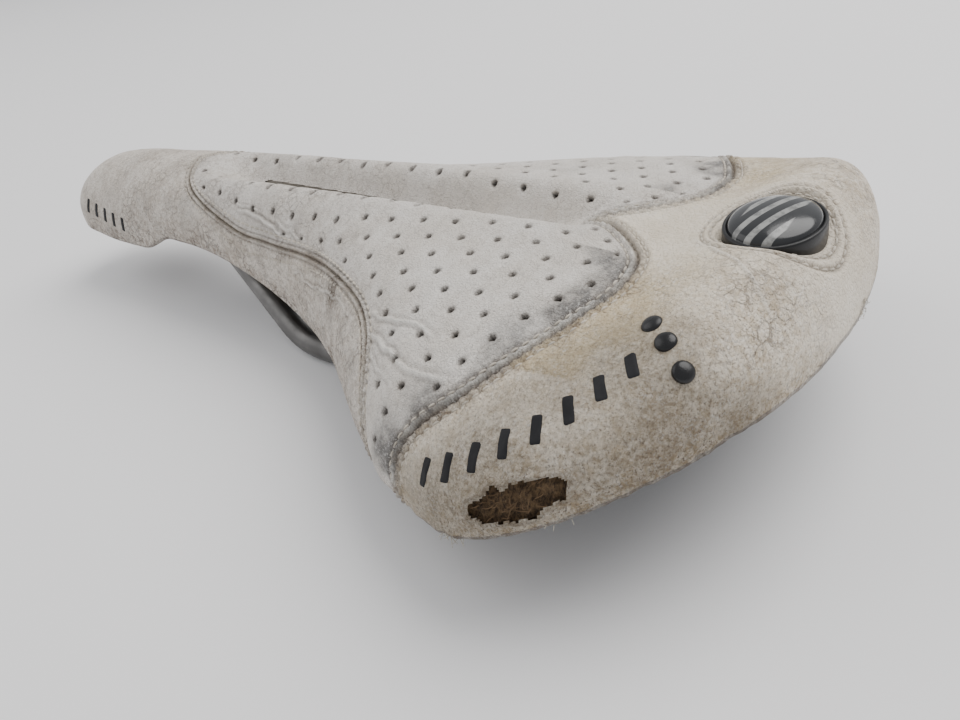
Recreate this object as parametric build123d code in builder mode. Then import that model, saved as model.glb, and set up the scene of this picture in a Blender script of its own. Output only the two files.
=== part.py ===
from build123d import *
import os
from math import exp

# Bicycle saddle, millimetres. +Z up, nose towards +Y, rider's right towards +X.
# The origin is on the floor, under the middle of the saddle: the rails' lowest line is z = 0.
# The pieces are drawn with y counted from the rear edge, and moved to that origin at the end.

# --- Driving dimensions -------------------------------------------------------------------
LENGTH = 277.0            # rear edge to nose tip
WING_HALF = 73.4          # half-width that the wings tend to
NOSE_HALF = 19.8          # half-width of the nose
FLARE_AT = 98.7           # distance from the rear where nose turns into wing
FLARE_LENGTH = 19.9       # how gently it turns
REAR_ROUND = 50.0         # plan rounding of the rear, measured along the saddle
NOSE_ROUND = 20.6         # plan rounding of the nose tip
SECTION_POWER = 2.2       # 2 is an ellipse, more is boxier

CREST = 47.6              # height of the top over most of the length
REAR_KICK = 5.5           # how far the tail rises above the crest
KICK_AT = 14.0
KICK_WIDTH = 12.0
NOSE_FALL = 7.8           # how far the nose tip drops below the crest
TAIL_ROUND = 12.0         # side-view rounding of the tail
TIP_ROUND = 20.0          # and of the nose tip

VALLEY_DEPTH = 9.0        # central relief channel
VALLEY_HALF = 10.5
VALLEY_START = 46.0
VALLEY_END = 200.0

COVER = 1.4               # synthetic leather
RAISE = 0.35              # a bound seam stands this far proud
FOAM_SIDE = 3.2           # inset of the foam's inner face at the skirt
FOAM_TOP = 9.4            # and under the top
GEL = 5.2                 # inset of the gel inserts' underside
GEL_SIDE = 2.4            # and of their flank
SHELL = 2.6               # nylon base shell
GLUE = 0.2                # gap between two layers
HEM = 1.2                 # thickness of the turned-in cover
HEM_WIDTH = 11.0
HEM_SHARE = 0.28          # narrower than that in the nose: this share of the half-width
SKIRT = 2.4               # upright band along the cover's lower edge
DEEP = 9.0                # how far a cutting form reaches below that edge

SLOT_HALF = 4.6           # central opening through foam and shell
SLOT_START = 88.0
SLOT_END = 178.0
LINER = 0.9

RAIL_RADIUS = 3.5
RAIL_SPACING = 44.0       # centre to centre
RAIL_BEND = 30.0

BADGE_AT = 15.2           # the badge's middle, from the rear edge
OPENING_HALF = (13.6, 11.4)   # oval opening in the rear panel
SURROUND_SUNK = 0.5       # the leather surround lies this far below the panel
TRIM_GAP = 0.15
CUP_HALF = (11.2, 9.2)    # the badge's cup
CUP_BOTTOM = 46.2
CUP_TOP = 51.7
CUP_FLOOR = 1.2
CUP_WALL = 0.9
DISC = 0.4
DOME_RISE = 2.4

STUD_SPOTS = [(-34.8, 22.4), (-38.2, 18.2), (-41.4, 13.8)]
STUD_RADIUS = 1.9
STUD_PROUD = 0.9          # as far above the surface as into it

GEL_EDGE = [(-12, 52), (-15, 43), (-24, 41), (-34, 44.5), (-46, 53), (-51, 64), (-47, 75),
            (-37, 86), (-27, 106), (-20.5, 130), (-17, 156), (-11, 176)]

RIB_AT = 13.0
RIB_START = 62.0
RIB_END = 186.0
RIB_BOTTOM = 28.5
RIB_WIDTH = 2.2

SOCKET_DEPTH = 14.0
SOCKET_RADIUS = 8.0
SOCKET_WALL = 2.5
BUSH_RADIUS = 5.4

CLIP_START = 202.0
CLIP_END = 234.0
CLIP_SPLIT = 26.3         # height where block and plate meet, on the rails' axes
NOSE_RAIL_AT = 8.3        # each rail's distance from the middle in the nose
CLIP_HALF = 12.6
CLIP_PLATE = 5.6
CLIP_SCREWS = (209.5, 226.5)
SCREW_RADIUS = 2.0
SCREW_GRIP = 4.5
SCREW_HEAD = 3.5
SCREW_HEAD_HEIGHT = 2.4

REACH = 200.0             # taller than anything a plan outline has to cut

os.makedirs("parts", exist_ok=True)


# --- The saddle's form: height and half-width at a distance along it -----------------------
def rounding(distance, radius, power):
    """0 at an end, 1 once the distance has passed the radius."""
    left = max(0.0, 1 - distance / radius)
    return (1 - left ** power) ** (1 / power)


def half_width(y):
    flare = 1 / (1 + exp((y - FLARE_AT) / FLARE_LENGTH))
    width = NOSE_HALF + (WING_HALF - NOSE_HALF) * flare
    return width * rounding(y, REAR_ROUND, 2.0) * rounding(LENGTH - y, NOSE_ROUND, 2.2)


def ramp(y, start, end):
    """A smooth step from 0 at start to 1 at end."""
    t = min(1.0, max(0.0, (y - start) / (end - start)))
    return t * t * (3 - 2 * t)


def lower_edge(y):
    """Height where the side turns into the upright band: low at the wings and the nose."""
    rear = 31.5 - 16.7 * ramp(y, 0, 62)
    waist = 12.2 * ramp(y, 118, 196)
    nose = 7.0 * ramp(y, 203, 226) - 1.5 * ramp(y, 240, 262)
    return rear + waist - nose + SKIRT


def crest(y):
    kick = REAR_KICK * exp(-((y - KICK_AT) / KICK_WIDTH) ** 2)
    fall = NOSE_FALL * (max(0.0, y - 120) / 157) ** 4
    return CREST + kick - fall


def full_rise(y):
    """Height of the top above the lower edge, rounded off at both ends."""
    rise = crest(y) - lower_edge(y)
    return rise * rounding(y, TAIL_ROUND, 2.2) * rounding(LENGTH - y, TIP_ROUND, 2.0)


def valley(y):
    return VALLEY_DEPTH * ramp(y, VALLEY_START, 76) * (1 - ramp(y, 172, VALLEY_END))


def surface_height(x, y):
    """Height of the saddle's top at a point of the plan."""
    side = min(1.0, abs(x) / half_width(y))
    height = lower_edge(y) + full_rise(y) * (1 - side ** SECTION_POWER) ** (1 / SECTION_POWER)
    groove = max(0.0, 1 - (x / VALLEY_HALF) ** 2)
    return height - valley(y) * groove ** 2


STATIONS = [0.5, 4, 10, 20, 34, 52, 70, 88, 106, 126, 148, 170, 190, 205, 218, 234, 252, 266, 275.5]
SIDE_STEPS = [0.35, 0.65, 0.86, 0.97]
MIDDLE = (STATIONS[0] + STATIONS[-1]) / 2
NARROW = 20.0             # below this half-width or height an inset shrinks in proportion


def section_points(station, side, top):
    """Half of a cross-section, from the middle to the lower edge, inset by side and top."""
    y = side + station * (LENGTH - 2 * side) / LENGTH
    full = half_width(station)
    width = full - side * min(1.0, full / NARROW)
    rise = full_rise(station)
    rise -= top * min(1.0, rise / NARROW)
    reach = VALLEY_HALF * min(1.0, width / NARROW)
    spots = [reach * step for step in (0, 0.35, 0.7, 1)]
    spots += [reach + (width - reach) * step for step in SIDE_STEPS]
    points = []
    for x in spots:
        height = lower_edge(y) + rise * (1 - (x / width) ** SECTION_POWER) ** (1 / SECTION_POWER)
        groove = max(0.0, 1 - (x / reach) ** 2)
        points.append((x, height - valley(station) * groove ** 2))
    points.append((width, lower_edge(y)))
    return y, points


def form(side=0.0, top=0.0, leg=SKIRT):
    """The saddle's closed form, inset from the outside, with upright legs below its edge."""
    with BuildPart() as body:
        for station in STATIONS:
            y, right = section_points(station, side, top)
            left = [(-x, z) for x, z in reversed(right)]
            outline = left + right[1:]
            (start_x, edge), (end_x, edge) = outline[0], outline[-1]
            with BuildSketch(Plane.XZ.offset(-y)):
                with BuildLine():
                    Spline(*outline)
                    Polyline((end_x, edge), (end_x, edge - leg), (start_x, edge - leg), (start_x, edge))
                make_face()
        loft()
    return body.part


# --- Seams, in plan, on the rider's left ---------------------------------------------------
REAR_SEAM = [(0, 56), (-5, 46), (-14, 36.5), (-24, 34.5), (-32, 37), (-43, 42.5),
             (-54, 50.5), (-62.5, 61), (-74, 71)]
SIDE_SEAM = [(-74, 76.5), (-60, 78), (-49, 83), (-39, 93), (-29.5, 112), (-24, 129),
             (-21, 148), (-19.4, 166), (-16.2, 184), (-11, 195), (0, 203)]
REAR_BAND = 2.4           # half-width of the bound seam across the tail
SIDE_BAND = 0.9           # and along the side, where it lies on a steep face
OUTSIDE = 90.0            # clear of the saddle's side


def seam_line(points, distance):
    """A seam moved sideways, to the left of its direction, its inner end on the centreline."""
    moved = []
    for index, (x, y) in enumerate(points):
        before = Vector(*points[max(index - 1, 0)])
        after = Vector(*points[min(index + 1, len(points) - 1)])
        along = (after - before).normalized()
        side = 0.0 if x == 0 else x - along.Y * distance
        moved.append((side, y + along.X * distance))
    return moved


def band_outline(points, half):
    """A strip along a seam, in plan."""
    one = seam_line(points, half)
    two = seam_line(points, -half)
    with BuildSketch() as strip:
        with BuildLine():
            Spline(*one)
            Spline(*two)
            Line(one[0], two[0])
            Line(one[-1], two[-1])
        make_face()
    return strip.sketch


def panel_outline():
    """The left perforated panel in plan."""
    rear = seam_line(REAR_SEAM, -REAR_BAND)
    side = seam_line(SIDE_SEAM, -SIDE_BAND)
    with BuildSketch() as panel:
        with BuildLine():
            Spline(*rear)
            Polyline(rear[-1], (-OUTSIDE, rear[-1][1]), (-OUTSIDE, side[0][1]), side[0])
            Spline(*side)
            Line(side[-1], rear[0])
        make_face()
    return panel.sketch


def tail_outline():
    """The rear panel in plan: everything behind both rear seams."""
    seam = seam_line(REAR_SEAM, REAR_BAND)
    with BuildSketch() as tail:
        with BuildLine():
            Spline(*seam)
            Polyline(seam[-1], (-OUTSIDE, seam[-1][1]), (-OUTSIDE, -5), (0, -5), seam[0])
        make_face()
        mirror(about=Plane.YZ)
    return tail.sketch


def nose_outline():
    """The nose and side piece in plan: everything ahead of both side seams."""
    seam = seam_line(SIDE_SEAM, SIDE_BAND)
    with BuildSketch() as nose:
        with BuildLine():
            Spline(*seam)
            Polyline(seam[-1], (0, LENGTH + 5), (-OUTSIDE, LENGTH + 5), (-OUTSIDE, seam[0][1]), seam[0])
        make_face()
        mirror(about=Plane.YZ)
    return nose.sketch


def slot_outline(half):
    """The central opening in plan."""
    with BuildSketch() as slot:
        with Locations((0, (SLOT_START + SLOT_END) / 2)):
            SlotOverall(SLOT_END - SLOT_START + 2 * (half - SLOT_HALF), 2 * half, rotation=90)
    return slot.sketch


def badge_outline(half_x, half_y):
    with BuildSketch() as oval:
        with Locations((0, BADGE_AT)):
            Ellipse(half_x, half_y)
    return oval.sketch


def keep_inside(blank, outline):
    """The part of a blank that lies over a plan outline."""
    with BuildPart() as kept:
        add(blank)
        with BuildSketch(Plane.XY.offset(-DEEP)):
            add(outline)
        extrude(amount=REACH, mode=Mode.INTERSECT)
    return kept.part


def cut_away(blank, outline):
    """A blank with a plan outline cut through it."""
    with BuildPart() as kept:
        add(blank)
        with BuildSketch(Plane.XY.offset(-DEEP)):
            add(outline)
        extrude(amount=REACH, mode=Mode.SUBTRACT)
    return kept.part


def finish(blank, name):
    """Label a piece, move the middle of the saddle over the origin and write it out."""
    placed = blank.moved(Location((0, -MIDDLE, 0)))
    placed.label = name
    export_step(placed, f"parts/{name}.step")


def mirrored(blank):
    with BuildPart() as other:
        mirror(blank, about=Plane.YZ)
    return other.part


def layer(outer, inner):
    """What lies between two nested forms."""
    with BuildPart() as between:
        add(outer)
        add(inner, mode=Mode.SUBTRACT)
    return between.part


# --- The cover: perforated panels, nose piece, rear panel and their bound seams -------------
cover_inside = form(COVER, COVER, DEEP)
skin = layer(form(), cover_inside)
proud_skin = layer(form(-RAISE, -RAISE), cover_inside)
cover_slot = slot_outline(SLOT_HALF - LINER)

cover_panel_left = cut_away(keep_inside(skin, panel_outline()), cover_slot)
finish(cover_panel_left, "cover_panel_left")
finish(mirrored(cover_panel_left), "cover_panel_right")

seam_band_rear_left = keep_inside(proud_skin, band_outline(REAR_SEAM, REAR_BAND))
finish(seam_band_rear_left, "seam_band_rear_left")
finish(mirrored(seam_band_rear_left), "seam_band_rear_right")

seam_band_side_left = keep_inside(proud_skin, band_outline(SIDE_SEAM, SIDE_BAND))
finish(seam_band_side_left, "seam_band_side_left")
finish(mirrored(seam_band_side_left), "seam_band_side_right")

cover_nose = keep_inside(skin, nose_outline())
finish(cover_nose, "cover_nose")

# --- Raised studs on the left of the rear panel ----------------------------------------------
stud_planes = []
for x, y in STUD_SPOTS:
    step = 0.5
    slope_x = (surface_height(x + step, y) - surface_height(x - step, y)) / (2 * step)
    slope_y = (surface_height(x, y + step) - surface_height(x, y - step)) / (2 * step)
    outward = (-slope_x, -slope_y, 1)
    stud_planes.append(Plane(origin=(x, y, surface_height(x, y)), z_dir=outward))

with BuildPart() as studs:
    for plane in stud_planes:
        with BuildSketch(plane.offset(-STUD_PROUD)):
            Circle(STUD_RADIUS)
        extrude(amount=2 * STUD_PROUD)
finish(studs.part, "studs")

with BuildPart() as cover_rear:
    add(cut_away(keep_inside(skin, tail_outline()), badge_outline(*OPENING_HALF)))
    add(studs.part, mode=Mode.SUBTRACT)
finish(cover_rear.part, "cover_rear")

# --- The badge: leather surround, cup, printed disc and clear dome ---------------------------
sunk_skin = layer(form(SURROUND_SUNK, SURROUND_SUNK), cover_inside)
surround_outline = badge_outline(OPENING_HALF[0] - TRIM_GAP, OPENING_HALF[1] - TRIM_GAP)
badge_surround = cut_away(keep_inside(sunk_skin, surround_outline),
                          badge_outline(CUP_HALF[0] + TRIM_GAP, CUP_HALF[1] + TRIM_GAP))
finish(badge_surround, "badge_surround")

with BuildPart() as badge_cup:
    with BuildSketch(Plane.XY.offset(CUP_BOTTOM)):
        add(badge_outline(*CUP_HALF))
    extrude(amount=CUP_TOP - CUP_BOTTOM)
    with BuildSketch(Plane.XY.offset(CUP_BOTTOM + CUP_FLOOR)):
        add(badge_outline(CUP_HALF[0] - CUP_WALL, CUP_HALF[1] - CUP_WALL))
    extrude(amount=CUP_TOP, mode=Mode.SUBTRACT)
    fillet(badge_cup.edges().group_by(Axis.Z)[-1], 0.4)
finish(badge_cup.part, "badge_cup")

disc_half = (CUP_HALF[0] - CUP_WALL - 0.1, CUP_HALF[1] - CUP_WALL - 0.1)
with BuildPart() as badge_disc:
    with BuildSketch(Plane.XY.offset(CUP_BOTTOM + CUP_FLOOR)):
        add(badge_outline(*disc_half))
    extrude(amount=DISC)
finish(badge_disc.part, "badge_disc")

dome_bottom = CUP_BOTTOM + CUP_FLOOR + DISC
with BuildPart() as badge_dome:
    with BuildSketch(Plane.XY.offset(dome_bottom)):
        add(badge_outline(*disc_half))
    extrude(amount=CUP_TOP - dome_bottom)
    with BuildSketch(Plane.XY.offset(CUP_TOP)):
        add(badge_outline(*disc_half))
    with BuildSketch(Plane.XY.offset(CUP_TOP + 0.65 * DOME_RISE)):
        add(badge_outline(0.8 * disc_half[0], 0.8 * disc_half[1]))
    with BuildSketch(Plane.XY.offset(CUP_TOP + DOME_RISE)):
        add(badge_outline(0.35 * disc_half[0], 0.35 * disc_half[1]))
    loft()
finish(badge_dome.part, "badge_dome")

# --- Padding: foam with a gel insert under each perforated panel -----------------------------
gel_layer = layer(form(COVER + GLUE, COVER + GLUE, 1.0), form(GEL_SIDE, GEL, DEEP))
with BuildSketch() as gel_outline:
    with BuildLine():
        Spline(*GEL_EDGE)
        Polyline(GEL_EDGE[-1], (GEL_EDGE[-1][0], GEL_EDGE[0][1]), GEL_EDGE[0])
    make_face()
with BuildPart() as gel_insert_left:
    add(keep_inside(gel_layer, gel_outline.sketch))
finish(gel_insert_left.part, "gel_insert_left")
gel_insert_right = mirrored(gel_insert_left.part)
finish(gel_insert_right, "gel_insert_right")

with BuildPart() as foam_pad:
    add(form(COVER + GLUE, COVER + GLUE, 1.0))
    add(form(FOAM_SIDE, FOAM_TOP, DEEP), mode=Mode.SUBTRACT)
    add(gel_insert_left.part, mode=Mode.SUBTRACT)
    add(gel_insert_right, mode=Mode.SUBTRACT)
    with BuildSketch(Plane.XY.offset(-DEEP)):
        add(slot_outline(SLOT_HALF))
    extrude(amount=REACH, mode=Mode.SUBTRACT)
    with BuildSketch(Plane.XY.offset(CUP_BOTTOM)):
        add(badge_outline(CUP_HALF[0] + TRIM_GAP, CUP_HALF[1] + TRIM_GAP))
    extrude(amount=REACH, mode=Mode.SUBTRACT)
finish(foam_pad.part, "foam_pad")

# --- Base shell, with two ribs underneath ----------------------------------------------------
shell_outside = form(FOAM_SIDE + GLUE, FOAM_TOP + GLUE, 1.0)
shell_inside = form(FOAM_SIDE + GLUE + SHELL, FOAM_TOP + GLUE + SHELL, DEEP)
with BuildPart() as rib_blank:
    for side in (-1, 1):
        with Locations((side * RIB_AT, (RIB_START + RIB_END) / 2, RIB_BOTTOM)):
            Box(RIB_WIDTH, RIB_END - RIB_START, REACH,
                align=(Align.CENTER, Align.CENTER, Align.MIN))
    add(shell_outside, mode=Mode.INTERSECT)
with BuildPart() as base_shell:
    add(layer(shell_outside, shell_inside))
    add(rib_blank.part)
    with BuildSketch(Plane.XY.offset(-DEEP)):
        add(slot_outline(SLOT_HALF))
    extrude(amount=REACH, mode=Mode.SUBTRACT)
finish(base_shell.part, "base_shell")

channel_liner = layer(form(COVER + GLUE, COVER + GLUE, 1.0), shell_inside)
channel_liner = cut_away(keep_inside(channel_liner, slot_outline(SLOT_HALF)), cover_slot)
finish(channel_liner, "channel_liner")

# --- The turned-in edge of the cover ---------------------------------------------------------
hem_blank = layer(form(COVER + GLUE, COVER + GLUE, SKIRT), form(COVER, COVER, SKIRT - HEM))
with BuildSketch() as hem_hole:
    inner_edge = []
    for station in STATIONS[3:-2]:
        width = min(HEM_WIDTH, HEM_SHARE * half_width(station))
        inner_edge.append((half_width(station) - width, station))
    with BuildLine():
        Spline(*inner_edge)
        Polyline(inner_edge[-1], (0, inner_edge[-1][1]), (0, inner_edge[0][1]), inner_edge[0])
    make_face()
    mirror(about=Plane.YZ)
finish(cut_away(hem_blank, hem_hole.sketch), "cover_hem")

# --- Rails: rear end in its socket, down to the clamping length, up into the nose clip --------
RAIL_ROUTE = [(33, 30, 27.5), (RAIL_SPACING / 2, 64, RAIL_RADIUS), (RAIL_SPACING / 2, 146, RAIL_RADIUS),
              (NOSE_RAIL_AT, 194, CLIP_SPLIT),
              (NOSE_RAIL_AT, 236, CLIP_SPLIT)]
with BuildPart() as rail_right:
    with BuildLine() as rail_path:
        FilletPolyline(*RAIL_ROUTE, radius=RAIL_BEND)
    with BuildSketch(Plane(origin=rail_path.line @ 0, z_dir=rail_path.line % 0)):
        Circle(RAIL_RADIUS)
    sweep()
finish(rail_right.part, "rail_right")
finish(mirrored(rail_right.part), "rail_left")

# --- Rear sockets and the elastic bushes in them ----------------------------------------------
rail_end = Vector(*RAIL_ROUTE[0])
rail_forward = (Vector(*RAIL_ROUTE[1]) - rail_end).normalized()
socket_mouth = Plane(origin=rail_end + rail_forward * SOCKET_DEPTH, z_dir=-rail_forward)
underside = form(FOAM_SIDE + 2 * GLUE + SHELL, FOAM_TOP + 2 * GLUE + SHELL, DEEP)

with BuildPart() as rear_bush_right:
    with BuildSketch(socket_mouth):
        Circle(BUSH_RADIUS)
        Circle(RAIL_RADIUS + 0.03, mode=Mode.SUBTRACT)
    extrude(amount=SOCKET_DEPTH)
finish(rear_bush_right.part, "rear_bush_right")
finish(mirrored(rear_bush_right.part), "rear_bush_left")

with BuildPart() as rear_socket_right:
    with BuildSketch(socket_mouth):
        Circle(SOCKET_RADIUS)
    extrude(amount=SOCKET_DEPTH + SOCKET_WALL)
    with BuildSketch(Plane.XY.offset(rail_end.Z - 2)):
        with Locations((rail_end.X + 1, rail_end.Y + 3)):
            RectangleRounded(2 * SOCKET_RADIUS + 8, 2 * SOCKET_RADIUS + 6, 4)
    extrude(amount=20)
    add(underside, mode=Mode.INTERSECT)
    with BuildSketch(socket_mouth.offset(-20)):
        Circle(BUSH_RADIUS + 0.05)
    extrude(amount=SOCKET_DEPTH + 20.05, mode=Mode.SUBTRACT)
finish(rear_socket_right.part, "rear_socket_right")
finish(mirrored(rear_socket_right.part), "rear_socket_left")

# --- Nose clip: a moulded block, a clamping plate and two screws -------------------------------
clip_rails = []
for side in (-1, 1):
    clip_rails.append(Plane(origin=(side * RAIL_ROUTE[-1][0], CLIP_START - 10, CLIP_SPLIT), z_dir=(0, 1, 0)))

with BuildPart() as nose_clip_block:
    with Locations((0, (CLIP_START + CLIP_END) / 2, CLIP_SPLIT + 0.1)):
        Box(2 * CLIP_HALF, CLIP_END - CLIP_START, 20, align=(Align.CENTER, Align.CENTER, Align.MIN))
    add(underside, mode=Mode.INTERSECT)
    with BuildSketch(*clip_rails):
        Circle(RAIL_RADIUS + 0.05)
    extrude(amount=CLIP_END - CLIP_START + 20, mode=Mode.SUBTRACT)
    with Locations(*[(0, y, CLIP_SPLIT) for y in CLIP_SCREWS]):
        Cylinder(SCREW_RADIUS + 0.05, 2 * SCREW_GRIP, mode=Mode.SUBTRACT)
finish(nose_clip_block.part, "nose_clip_block")

with BuildPart() as nose_clip_plate:
    with Locations((0, (CLIP_START + CLIP_END) / 2, CLIP_SPLIT - 0.1)):
        Box(2 * CLIP_HALF, CLIP_END - CLIP_START - 2, CLIP_PLATE,
            align=(Align.CENTER, Align.CENTER, Align.MAX))
    fillet(nose_clip_plate.edges().filter_by(Axis.Z), 3)
    fillet(nose_clip_plate.faces().sort_by(Axis.Z)[0].edges(), 1)
    with BuildSketch(*clip_rails):
        Circle(RAIL_RADIUS + 0.05)
    extrude(amount=CLIP_END - CLIP_START + 20, mode=Mode.SUBTRACT)
    with Locations(*[(0, y, CLIP_SPLIT) for y in CLIP_SCREWS]):
        Cylinder(SCREW_RADIUS + 0.15, 4 * CLIP_PLATE, mode=Mode.SUBTRACT)
finish(nose_clip_plate.part, "nose_clip_plate")

with BuildPart() as nose_clip_screws:
    head_top = CLIP_SPLIT - 0.1 - CLIP_PLATE
    with BuildSketch(Plane.XY.offset(head_top)):
        with Locations(*[(0, y) for y in CLIP_SCREWS]):
            Circle(SCREW_HEAD)
    extrude(amount=-SCREW_HEAD_HEIGHT)
    with BuildSketch(Plane.XY.offset(head_top)):
        with Locations(*[(0, y) for y in CLIP_SCREWS]):
            Circle(SCREW_RADIUS)
    extrude(amount=CLIP_PLATE + SCREW_GRIP - 1)
    with BuildSketch(Plane.XY.offset(head_top - SCREW_HEAD_HEIGHT)):
        with Locations(*[(0, y) for y in CLIP_SCREWS]):
            RegularPolygon(1.5, 6)
    extrude(amount=1.6, mode=Mode.SUBTRACT)
finish(nose_clip_screws.part, "nose_clip_screws")
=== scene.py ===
from math import cos, pi, radians, sin

import bpy
import numpy as np
from mathutils import Matrix, Vector
from mathutils.kdtree import KDTree


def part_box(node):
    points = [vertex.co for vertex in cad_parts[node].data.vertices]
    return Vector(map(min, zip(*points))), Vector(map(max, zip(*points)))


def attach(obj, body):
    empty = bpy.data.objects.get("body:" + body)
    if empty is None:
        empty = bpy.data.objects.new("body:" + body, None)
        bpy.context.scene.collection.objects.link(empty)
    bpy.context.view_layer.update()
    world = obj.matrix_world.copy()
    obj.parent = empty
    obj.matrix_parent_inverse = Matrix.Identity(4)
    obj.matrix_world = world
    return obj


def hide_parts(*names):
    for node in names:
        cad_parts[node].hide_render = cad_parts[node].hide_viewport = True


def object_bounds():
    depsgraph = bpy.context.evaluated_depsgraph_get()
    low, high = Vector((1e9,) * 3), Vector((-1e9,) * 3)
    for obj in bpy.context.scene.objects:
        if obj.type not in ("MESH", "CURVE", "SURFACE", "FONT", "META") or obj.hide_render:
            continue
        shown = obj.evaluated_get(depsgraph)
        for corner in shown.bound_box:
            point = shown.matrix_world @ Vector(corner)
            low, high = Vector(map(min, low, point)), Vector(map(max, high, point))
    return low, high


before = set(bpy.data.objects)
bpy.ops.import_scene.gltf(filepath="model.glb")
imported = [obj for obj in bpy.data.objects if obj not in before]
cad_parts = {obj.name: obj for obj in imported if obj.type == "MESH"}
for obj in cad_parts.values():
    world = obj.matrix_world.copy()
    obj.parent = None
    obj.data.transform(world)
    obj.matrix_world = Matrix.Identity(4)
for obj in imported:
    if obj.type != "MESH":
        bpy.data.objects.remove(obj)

# A worn bicycle saddle. Its form is worked out in millimetres with y counted from the rear edge, and
# in_frame() moves the finished points to the frame. A run is a distance over the cover's section from
# the middle, negative on the rider's left.

cad_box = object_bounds()
MM = 0.001
REAR_EDGE = cad_box[0][1] - 0.5 * MM      # the rear edge's place on the frame's Y axis

# --- The saddle's form ----------------------------------------------------------------------------
LENGTH = 277.0            # rear edge to nose tip
WING_HALF = 73.4          # half-width that the wings tend to
NOSE_HALF = 19.8          # half-width of the nose
FLARE_AT = 98.7           # distance from the rear where nose turns into wing
FLARE_LENGTH = 19.9
REAR_ROUND = 50.0         # plan rounding of the rear
NOSE_ROUND = 20.6         # and of the nose tip
SECTION_POWER = 2.2       # 2 is an ellipse, more is boxier
CREST = 47.6              # height of the top over most of the length
REAR_KICK = 5.5           # how far the tail rises above it
KICK_AT = 14.0
KICK_WIDTH = 12.0
NOSE_FALL = 7.8           # how far the nose tip drops below it
TAIL_ROUND = 12.0         # side-view rounding of the tail
TIP_ROUND = 20.0          # and of the nose tip
SKIRT = 2.4               # upright band along the cover's lower edge
VALLEY_DEPTH = 9.0        # central relief channel
VALLEY_HALF = 10.5

SLOT_START = 92.6         # the opening through the channel: ends of its middle line
SLOT_END = 173.4
SLOT_HALF = 3.7

BADGE_AT = 15.2           # the badge's middle
CUP_HALF = (11.2, 9.2)
EGG_HALF = 13.6           # the stitched ring round the badge: half its width
EGG_FRONT = 13.2          # and its reach to the front and the rear
EGG_REAR = 12.5
EGG_SIZE = 12.5           # turns a share of the ring's size into about millimetres
INNER_RING = 1.5          # the second stitched ring lies this far inside the first

REAR_SEAM = [(0, 56), (-5, 46), (-14, 36.5), (-24, 34.5), (-32, 37), (-43, 42.5),
             (-54, 50.5), (-62.5, 61), (-74, 71)]
SIDE_SEAM = [(-74, 76.5), (-60, 78), (-49, 83), (-39, 93), (-29.5, 112), (-24, 129),
             (-21, 148), (-19.4, 166), (-16.2, 184), (-11, 195), (0, 203)]
REAR_STITCHES = 1.9       # second stitch line of each seam, beside the first
SIDE_STITCHES = 1.5
STITCH_PITCH = 2.3

HOLE_RADIUS = 0.8         # perforations, in columns along the saddle
COLUMN_PITCH = 5.75
ROW_PITCH = 9.5

TEAR_AT = 33.5            # the torn patch on the left wing: its place along the saddle
TEAR_RISE = 5.9           # and above the cover's lower edge
TEAR_HALF = (3.9, 7.6)    # half its height and half its length
STUD_SPOTS = [(-34.8, 22.4), (-38.2, 18.2), (-41.4, 13.8)]
STUD_RADIUS = 1.85


def rounding(distance, radius, power):
    """0 at an end, 1 once the distance has passed the radius."""
    left = np.clip(1 - distance / radius, 0, 1)
    return np.clip(1 - left ** power, 0, 1) ** (1 / power)


def ramp(y, start, end):
    """A smooth step from 0 at start to 1 at end."""
    t = np.clip((y - start) / (end - start), 0, 1)
    return t * t * (3 - 2 * t)


def half_width(y):
    flare = 1 / (1 + np.exp((y - FLARE_AT) / FLARE_LENGTH))
    width = NOSE_HALF + (WING_HALF - NOSE_HALF) * flare
    return width * rounding(y, REAR_ROUND, 2.0) * rounding(LENGTH - y, NOSE_ROUND, 2.2)


def lower_edge(y):
    """Height where the side turns into the upright band: low at the wings and the nose."""
    rear = 31.5 - 16.7 * ramp(y, 0, 62)
    waist = 12.2 * ramp(y, 118, 196)
    nose = 7.0 * ramp(y, 203, 226) - 1.5 * ramp(y, 240, 262)
    return rear + waist - nose + SKIRT


def full_rise(y):
    """Height of the top above the lower edge, rounded off at both ends."""
    kick = REAR_KICK * np.exp(-((y - KICK_AT) / KICK_WIDTH) ** 2)
    fall = NOSE_FALL * np.clip((y - 120) / 157, 0, None) ** 4
    rise = CREST + kick - fall - lower_edge(y)
    return rise * rounding(y, TAIL_ROUND, 2.2) * rounding(LENGTH - y, TIP_ROUND, 2.0)


def valley(y):
    return VALLEY_DEPTH * ramp(y, 46, 76) * (1 - ramp(y, 172, 200))


def valley_share(x):
    return np.clip(1 - (x / VALLEY_HALF) ** 2, 0, None) ** 2


def surface_height(x, y):
    side = np.clip(np.abs(x) / np.maximum(half_width(y), 1e-6), 0, 1)
    height = lower_edge(y) + full_rise(y) * (1 - side ** SECTION_POWER) ** (1 / SECTION_POWER)
    return height - valley(y) * valley_share(x)


def section_arch(width, rise, low, steps):
    """Half a cross-section over the top, from the middle to the lower edge."""
    angle = np.linspace(pi / 2, 0, steps)
    return width * np.cos(angle) ** (2 / SECTION_POWER), low + rise * np.sin(angle) ** (2 / SECTION_POWER)


def slot_distance(x, y):
    """How far a plan place is outside the opening's edge."""
    return np.hypot(x, y - np.clip(y, SLOT_START, SLOT_END)) - SLOT_HALF


def badge_reach(x, y, margin=0.0):
    """1 on the badge cup's outline in plan, less inside it."""
    return np.hypot(x / (CUP_HALF[0] + margin), (y - BADGE_AT) / (CUP_HALF[1] + margin))


def in_frame(points):
    """Millimetres from the rear edge to metres in the frame."""
    placed = np.asarray(points, float) * MM
    placed[..., 1] += REAR_EDGE
    return placed


# --- Lines, noise and falloffs --------------------------------------------------------------------
def runs_along(line):
    return np.concatenate([[0], np.cumsum(np.linalg.norm(np.diff(line, axis=0), axis=1))])


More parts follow.
